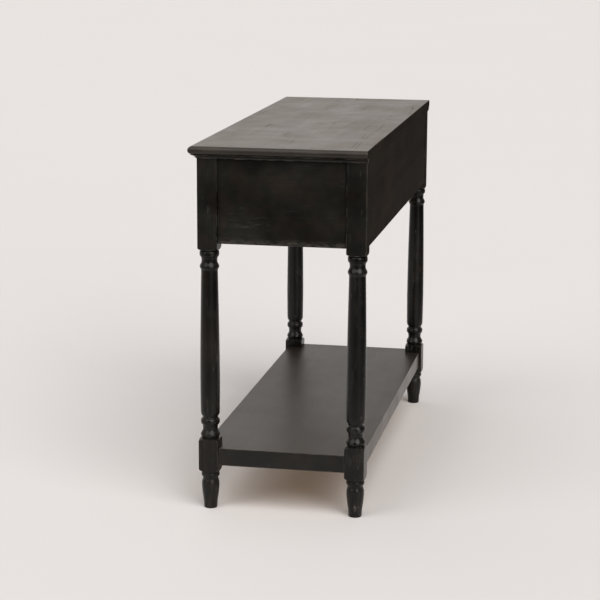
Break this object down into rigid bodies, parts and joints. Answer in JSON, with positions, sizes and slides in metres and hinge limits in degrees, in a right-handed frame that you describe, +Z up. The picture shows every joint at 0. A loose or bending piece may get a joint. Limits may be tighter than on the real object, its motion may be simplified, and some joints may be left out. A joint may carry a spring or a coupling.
{
  "type": "console table",
  "caption": "Narrow console table with turned legs, a thick notched low shelf, a nosed top over a cove moulding, and drawers that slide out of the front.",
  "frame": {"origin": "on the floor, at the middle of the bounding box with the drawers shut and the knobs counted", "axes": "+X along the table's length to its right end as seen from the drawers, +Y from the drawer fronts to the back, +Z up"},
  "size_m": [0.989, 0.373, 0.76],
  "materials": {
    "black_paint": "satin black paint on wood, rubbed thin along the edges",
    "raw_wood": "planed bare softwood",
    "plywood": "sanded thin plywood",
    "aged_brass": "darkened brass, brighter where it is handled",
    "zinc_steel": "zinc-plated steel"
  },
  "bodies": {
    "table": {"top_board": "black_paint", "cove_moulding_front": "black_paint", "cove_moulding_left": "black_paint", "cove_moulding_right": "black_paint", "leg_front_left": "black_paint", "leg_front_right": "black_paint", "leg_back_left": "black_paint", "leg_back_right": "black_paint", "end_panel_left": "black_paint", "end_panel_right": "black_paint", "back_panel": "black_paint", "front_top_rail": "black_paint", "front_bottom_rail": "black_paint", "drawer_divider": "black_paint", "drawer_runner_left": "raw_wood", "drawer_runner_centre": "raw_wood", "drawer_runner_right": "raw_wood", "drawer_guide_left": "raw_wood", "drawer_guide_centre": "raw_wood", "drawer_guide_right": "raw_wood", "drawer_kicker_left": "raw_wood", "drawer_kicker_centre": "raw_wood", "drawer_kicker_right": "raw_wood", "drawer_stop_left": "raw_wood", "drawer_stop_right": "raw_wood", "top_screw_1": "zinc_steel", "top_screw_2": "zinc_steel", "top_screw_3": "zinc_steel", "top_screw_4": "zinc_steel", "top_screw_5": "zinc_steel", "top_screw_6": "zinc_steel", "lower_shelf": "black_paint", "shelf_dowel_front_left": "raw_wood", "shelf_dowel_front_right": "raw_wood", "shelf_dowel_back_left": "raw_wood", "shelf_dowel_back_right": "raw_wood"},
    "drawer_left": {"drawer_left_front": "black_paint", "drawer_left_side_left": "raw_wood", "drawer_left_side_right": "raw_wood", "drawer_left_back": "raw_wood", "drawer_left_bottom": "plywood", "drawer_left_knob": "aged_brass", "drawer_left_knob_screw": "zinc_steel"},
    "drawer_right": {"drawer_right_front": "black_paint", "drawer_right_side_left": "raw_wood", "drawer_right_side_right": "raw_wood", "drawer_right_back": "raw_wood", "drawer_right_bottom": "plywood", "drawer_right_knob": "aged_brass", "drawer_right_knob_screw": "zinc_steel"}
  },
  "joints": [
    {"name": "drawer_left_slide", "type": "slide", "parent": "table", "child": "drawer_left", "axis": [0, -1, 0], "range_m": [0, 0.2]},
    {"name": "drawer_right_slide", "type": "slide", "parent": "table", "child": "drawer_right", "axis": [0, -1, 0], "range_m": [0, 0.2]}
  ]
}
